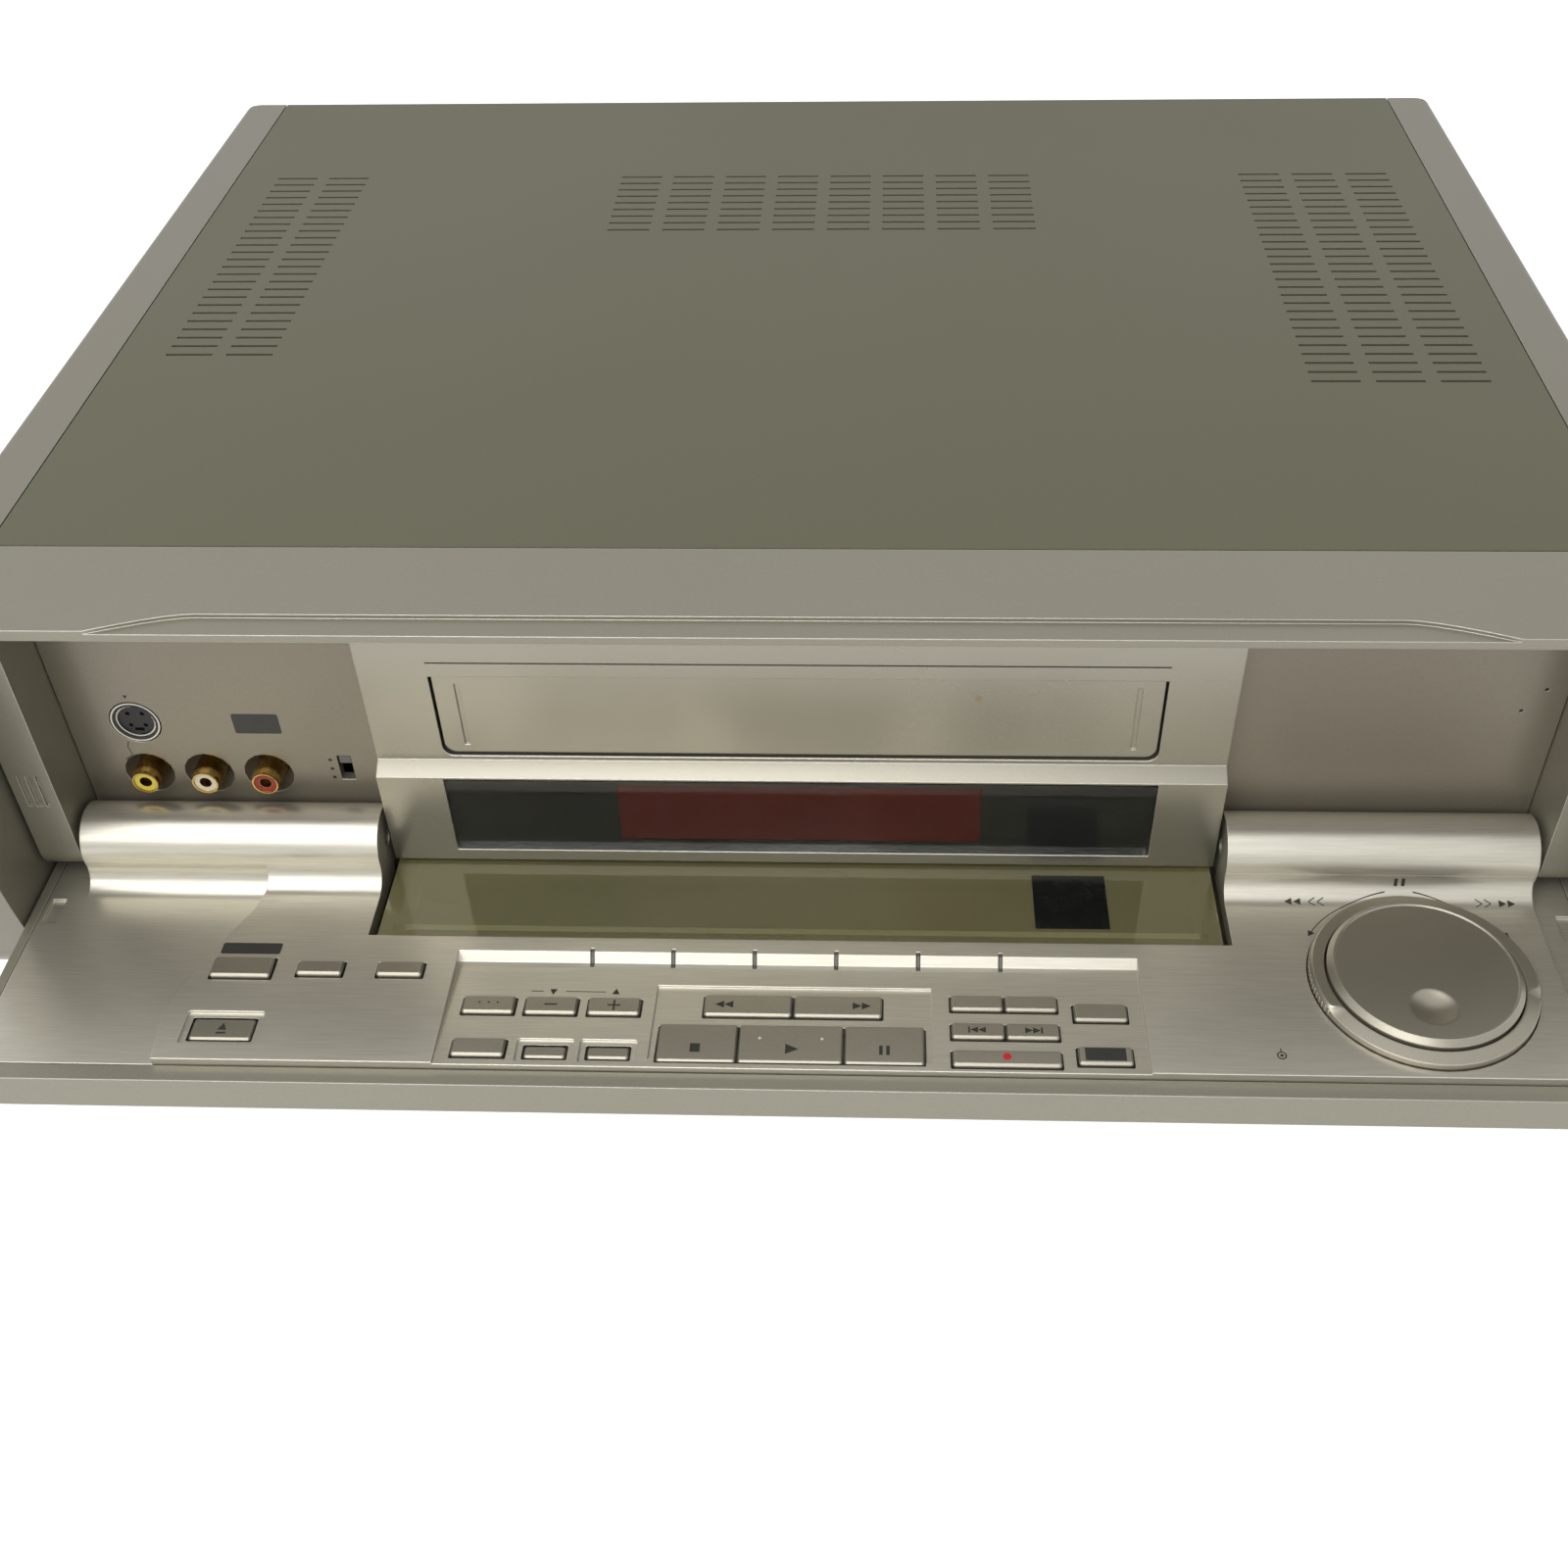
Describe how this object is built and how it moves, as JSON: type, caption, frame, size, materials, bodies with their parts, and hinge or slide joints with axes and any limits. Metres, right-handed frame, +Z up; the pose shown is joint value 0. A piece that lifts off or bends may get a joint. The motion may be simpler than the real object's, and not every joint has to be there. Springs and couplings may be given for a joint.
{
  "type": "video cassette recorder",
  "caption": "Video cassette recorder with a full-width drop-down control flap, cassette door, jog dial and shuttle ring.",
  "frame": {"origin": "on the floor, midway between the open flap's free edge and the rear sockets", "axes": "+Z up, -Y to the front, +X to the right seen from the front"},
  "size_m": [0.462, 0.4172, 0.13],
  "materials": {
    "cover_paint": "satin",
    "panel_paint": "satin",
    "champagne": "satin",
    "fascia_silver": "satin",
    "recess_paint": "satin",
    "satin_metal": "satin",
    "key_silver": "satin",
    "dark_glass": "gloss",
    "olive_glass": "gloss",
    "red_filter": "gloss",
    "black_plastic": "satin",
    "grey_plastic": "satin",
    "zinc_steel": "satin",
    "black_steel": "satin",
    "gold": "gloss",
    "clear_plastic": "gloss",
    "green_board": "satin",
    "drum_metal": "polished",
    "rubber": "matte"
  },
  "bodies": {
    "cassette_carriage": {"cassette_carriage": "zinc_steel"},
    "head_drum": {"head_drum": "drum_metal"},
    "housing": {"top_cover": "cover_paint", "side_panel_left": "panel_paint", "side_panel_right": "panel_paint", "front_bezel": "champagne", "fascia": "fascia_silver", "display_window": "dark_glass", "display_tube": "red_filter", "remote_sensor": "black_plastic", "jack_panel": "recess_paint", "blank_panel": "recess_paint", "s_video_jack": "black_plastic", "phono_jack_video": "gold", "phono_jack_audio_left": "gold", "phono_jack_audio_right": "gold", "chassis_pan": "zinc_steel", "foot_front_left": "rubber", "foot_front_right": "rubber", "foot_rear_left": "rubber", "foot_rear_right": "rubber", "rear_panel": "black_steel", "rear_jack_block": "black_plastic", "power_inlet": "black_plastic", "aerial_terminals": "zinc_steel", "tape_deck": "zinc_steel", "main_board": "green_board"},
    "flap": {"light_guide_bar": "clear_plastic", "flap_shell": "champagne", "flap_inner_panel": "satin_metal", "flap_window": "olive_glass", "hinge_pin_left": "zinc_steel", "hinge_pin_right": "zinc_steel", "dial_encoder": "black_plastic"},
    "cassette_door": {"cassette_door": "fascia_silver"},
    "jog_dial": {"jog_dial": "key_silver"},
    "shuttle_ring": {"shuttle_ring": "key_silver"},
    "remote_code_switch": {"remote_code_switch": "grey_plastic"},
    "key_navigation": {"key_navigation": "key_silver"},
    "key_minus": {"key_minus": "key_silver"},
    "key_plus": {"key_plus": "key_silver"},
    "key_ok": {"key_ok": "key_silver"},
    "key_format": {"key_format": "key_silver"},
    "key_speed": {"key_speed": "key_silver"},
    "key_menu": {"key_menu": "key_silver"},
    "key_cancel": {"key_cancel": "key_silver"},
    "key_mark_1": {"key_mark_1": "key_silver"},
    "key_mark_2": {"key_mark_2": "key_silver"},
    "key_previous": {"key_previous": "key_silver"},
    "key_next": {"key_next": "key_silver"},
    "key_record": {"key_record": "key_silver"},
    "key_rewind": {"key_rewind": "key_silver"},
    "key_fast_forward": {"key_fast_forward": "key_silver"},
    "key_stop": {"key_stop": "key_silver"},
    "key_play": {"key_play": "key_silver"},
    "key_pause": {"key_pause": "key_silver"},
    "key_power": {"key_power": "key_silver"},
    "key_timer": {"key_timer": "key_silver"},
    "key_display": {"key_display": "key_silver"},
    "key_eject": {"key_eject": "key_silver"}
  },
  "joints": [
    {"name": "flap_hinge", "type": "hinge", "parent": "housing", "child": "flap", "pos_m": [0, -0.12945, 0.0494], "axis": [-1, 0, 0], "range_deg": [0, 90]},
    {"name": "door_hinge", "type": "hinge", "parent": "housing", "child": "cassette_door", "pos_m": [0, -0.12105, 0.1076], "axis": [1, 0, 0], "range_deg": [0, 90], "stiffness_Nm_per_rad": 0.02},
    {"name": "jog_spin", "type": "hinge", "parent": "flap", "child": "jog_dial", "pos_m": [0.1644, -0.17195, 0.04], "axis": [0, 0, 1], "continuous": true},
    {"name": "shuttle_turn", "type": "hinge", "parent": "flap", "child": "shuttle_ring", "pos_m": [0.1644, -0.17195, 0.04], "axis": [0, 0, 1], "range_deg": [-75, 75], "stiffness_Nm_per_rad": 0.02},
    {"name": "switch_slide", "type": "slide", "parent": "housing", "child": "remote_code_switch", "axis": [0, 0, -1], "range_m": [0, 0.0052]},
    {"name": "carriage_lift", "type": "slide", "parent": "housing", "child": "cassette_carriage", "axis": [0, 0, -1], "range_m": [0, 0.028]},
    {"name": "drum_spin", "type": "hinge", "parent": "housing", "child": "head_drum", "pos_m": [0, 0.06155, 0.0435], "axis": [0, -0.1045, 0.9945], "continuous": true},
    {"name": "press_navigation", "type": "slide", "parent": "flap", "child": "key_navigation", "axis": [0, 0, -1], "range_m": [0, 0.0008], "stiffness_N_per_m": 900},
    {"name": "press_minus", "type": "slide", "parent": "flap", "child": "key_minus", "axis": [0, 0, -1], "range_m": [0, 0.0008], "stiffness_N_per_m": 900},
    {"name": "press_plus", "type": "slide", "parent": "flap", "child": "key_plus", "axis": [0, 0, -1], "range_m": [0, 0.0008], "stiffness_N_per_m": 900},
    {"name": "press_ok", "type": "slide", "parent": "flap", "child": "key_ok", "axis": [0, 0, -1], "range_m": [0, 0.0008], "stiffness_N_per_m": 900},
    {"name": "press_format", "type": "slide", "parent": "flap", "child": "key_format", "axis": [0, 0, -1], "range_m": [0, 0.0008], "stiffness_N_per_m": 900},
    {"name": "press_speed", "type": "slide", "parent": "flap", "child": "key_speed", "axis": [0, 0, -1], "range_m": [0, 0.0008], "stiffness_N_per_m": 900},
    {"name": "press_menu", "type": "slide", "parent": "flap", "child": "key_menu", "axis": [0, 0, -1], "range_m": [0, 0.0008], "stiffness_N_per_m": 900},
    {"name": "press_cancel", "type": "slide", "parent": "flap", "child": "key_cancel", "axis": [0, 0, -1], "range_m": [0, 0.0008], "stiffness_N_per_m": 900},
    {"name": "press_mark_1", "type": "slide", "parent": "flap", "child": "key_mark_1", "axis": [0, 0, -1], "range_m": [0, 0.0008], "stiffness_N_per_m": 900},
    {"name": "press_mark_2", "type": "slide", "parent": "flap", "child": "key_mark_2", "axis": [0, 0, -1], "range_m": [0, 0.0008], "stiffness_N_per_m": 900},
    {"name": "press_previous", "type": "slide", "parent": "flap", "child": "key_previous", "axis": [0, 0, -1], "range_m": [0, 0.0008], "stiffness_N_per_m": 900},
    {"name": "press_next", "type": "slide", "parent": "flap", "child": "key_next", "axis": [0, 0, -1], "range_m": [0, 0.0008], "stiffness_N_per_m": 900},
    {"name": "press_record", "type": "slide", "parent": "flap", "child": "key_record", "axis": [0, 0, -1], "range_m": [0, 0.0008], "stiffness_N_per_m": 900},
    {"name": "press_rewind", "type": "slide", "parent": "flap", "child": "key_rewind", "axis": [0, 0, -1], "range_m": [0, 0.0008], "stiffness_N_per_m": 900},
    {"name": "press_fast_forward", "type": "slide", "parent": "flap", "child": "key_fast_forward", "axis": [0, 0, -1], "range_m": [0, 0.0008], "stiffness_N_per_m": 900},
    {"name": "press_stop", "type": "slide", "parent": "flap", "child": "key_stop", "axis": [0, 0, -1], "range_m": [0, 0.0008], "stiffness_N_per_m": 900},
    {"name": "press_play", "type": "slide", "parent": "flap", "child": "key_play", "axis": [0, 0, -1], "range_m": [0, 0.0008], "stiffness_N_per_m": 900},
    {"name": "press_pause", "type": "slide", "parent": "flap", "child": "key_pause", "axis": [0, 0, -1], "range_m": [0, 0.0008], "stiffness_N_per_m": 900},
    {"name": "press_power", "type": "slide", "parent": "flap", "child": "key_power", "axis": [0, 0, -1], "range_m": [0, 0.0008], "stiffness_N_per_m": 900},
    {"name": "press_timer", "type": "slide", "parent": "flap", "child": "key_timer", "axis": [0, 0, -1], "range_m": [0, 0.0008], "stiffness_N_per_m": 900},
    {"name": "press_display", "type": "slide", "parent": "flap", "child": "key_display", "axis": [0, 0, -1], "range_m": [0, 0.0008], "stiffness_N_per_m": 900},
    {"name": "press_eject", "type": "slide", "parent": "flap", "child": "key_eject", "axis": [0, 0, -1], "range_m": [0, 0.0008], "stiffness_N_per_m": 900}
  ]
}
